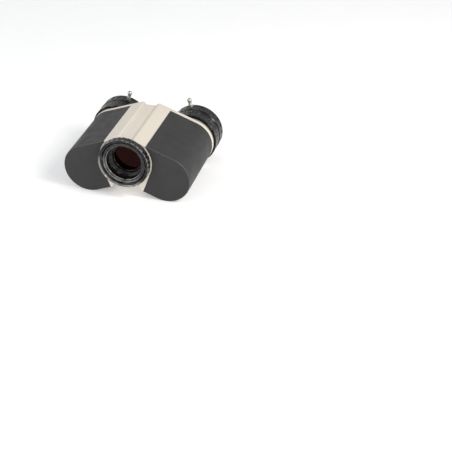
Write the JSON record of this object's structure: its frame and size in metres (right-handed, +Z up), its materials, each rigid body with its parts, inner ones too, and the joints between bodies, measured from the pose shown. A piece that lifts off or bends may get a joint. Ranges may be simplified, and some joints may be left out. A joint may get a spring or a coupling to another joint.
{
  "type": "binocular telescope viewer",
  "caption": "Hinged twin-prism viewing head that splits one telescope beam between two eyepieces, with a bayonet nose, diopter rings and lever-clamped eyepiece holders.",
  "frame": {"origin": "on the hinge and telescope axis, in the plane of the front face of the housings", "axes": "+Y runs along the hinge from the telescope end to the eyepiece end, +Z is up, +X is to the right seen from the telescope end"},
  "size_m": [0.1256, 0.1107, 0.0634],
  "materials": {
    "cream_enamel": "satin",
    "armour_rubber": "matte",
    "black_anodised": "satin",
    "grey_anodised": "satin",
    "inner_aluminium": "matte",
    "lever_chrome": "polished",
    "collet_brass": "satin",
    "bush_bronze": "satin",
    "screw_steel": "satin",
    "spring_steel": "satin",
    "prism_glass": "polished",
    "coated_glass": "polished"
  },
  "bodies": {
    "right_half": {"right_housing": "cream_enamel", "right_armour": "armour_rubber", "right_rear_plate": "cream_enamel", "right_rear_plate_screws": "screw_steel", "hinge_barrel": "cream_enamel", "barrel_screws": "screw_steel", "hinge_bush_front": "bush_bronze", "hinge_bush_rear": "bush_bronze", "hinge_rear_cap": "black_anodised", "hinge_cone_washer": "spring_steel", "nose_flange": "black_anodised", "nose_split_collar": "black_anodised", "nose_retaining_ring": "black_anodised", "entrance_window": "coated_glass", "beamsplitter_front_prism": "prism_glass", "beamsplitter_rear_prism": "prism_glass", "beamsplitter_cradle": "inner_aluminium", "right_fold_prism": "prism_glass", "compensator_block": "prism_glass", "right_prism_cradle": "inner_aluminium", "right_prism_clamp": "spring_steel", "right_cradle_screws": "screw_steel", "right_holder_base": "grey_anodised", "right_base_screws": "screw_steel", "right_guide_pin": "screw_steel"},
    "left_half": {"left_housing": "cream_enamel", "left_armour": "armour_rubber", "left_rear_plate": "cream_enamel", "left_rear_plate_screws": "screw_steel", "hinge_carrier": "inner_aluminium", "carrier_screws": "screw_steel", "rhomboid_prism": "prism_glass", "left_prism_cradle": "inner_aluminium", "left_prism_clamp": "spring_steel", "left_cradle_screws": "screw_steel", "left_holder_base": "grey_anodised", "left_base_screws": "screw_steel", "left_guide_pin": "screw_steel"},
    "nose_ring": {"nose_lock_ring": "black_anodised", "nose_lock_screws": "screw_steel"},
    "right_diopter": {"right_diopter_ring": "black_anodised"},
    "right_holder": {"right_eyepiece_holder": "black_anodised", "right_collet": "collet_brass", "right_holder_end_ring": "black_anodised"},
    "right_clamp": {"right_clamp_ring": "black_anodised", "right_clamp_lever": "lever_chrome"},
    "left_diopter": {"left_diopter_ring": "black_anodised"},
    "left_holder": {"left_eyepiece_holder": "black_anodised", "left_collet": "collet_brass", "left_holder_end_ring": "black_anodised"},
    "left_clamp": {"left_clamp_ring": "black_anodised", "left_clamp_lever": "lever_chrome"}
  },
  "joints": [
    {"name": "ipd_hinge", "type": "hinge", "parent": "right_half", "child": "left_half", "pos_m": [0, 0.036, 0], "axis": [0, -1, 0], "range_deg": [0, 50.42]},
    {"name": "nose_ring_turn", "type": "hinge", "parent": "right_half", "child": "nose_ring", "pos_m": [0, -0.002, 0], "axis": [0, 1, 0], "range_deg": [0, 45]},
    {"name": "right_holder_slide", "type": "slide", "parent": "right_half", "child": "right_holder", "axis": [0, 1, 0], "range_m": [0, 0.004]},
    {"name": "right_diopter_turn", "type": "hinge", "parent": "right_half", "child": "right_diopter", "pos_m": [0.0375, 0.085, -0.01392], "axis": [0, 1, 0], "range_deg": [0, 300]},
    {"name": "right_clamp_turn", "type": "hinge", "parent": "right_holder", "child": "right_clamp", "pos_m": [0.0375, 0.098, -0.01392], "axis": [0, 1, 0], "range_deg": [0, 35]},
    {"name": "left_holder_slide", "type": "slide", "parent": "left_half", "child": "left_holder", "axis": [0, 1, 0], "range_m": [0, 0.004]},
    {"name": "left_diopter_turn", "type": "hinge", "parent": "left_half", "child": "left_diopter", "pos_m": [-0.0375, 0.085, -0.01392], "axis": [0, 1, 0], "range_deg": [0, 300]},
    {"name": "left_clamp_turn", "type": "hinge", "parent": "left_holder", "child": "left_clamp", "pos_m": [-0.0375, 0.098, -0.01392], "axis": [0, -1, 0], "range_deg": [0, 35]}
  ],
  "couplings": [
    {"joint": "right_diopter_turn", "follows": "right_holder_slide", "rad_per_m": 1308.9},
    {"joint": "left_diopter_turn", "follows": "left_holder_slide", "rad_per_m": 1308.9}
  ]
}
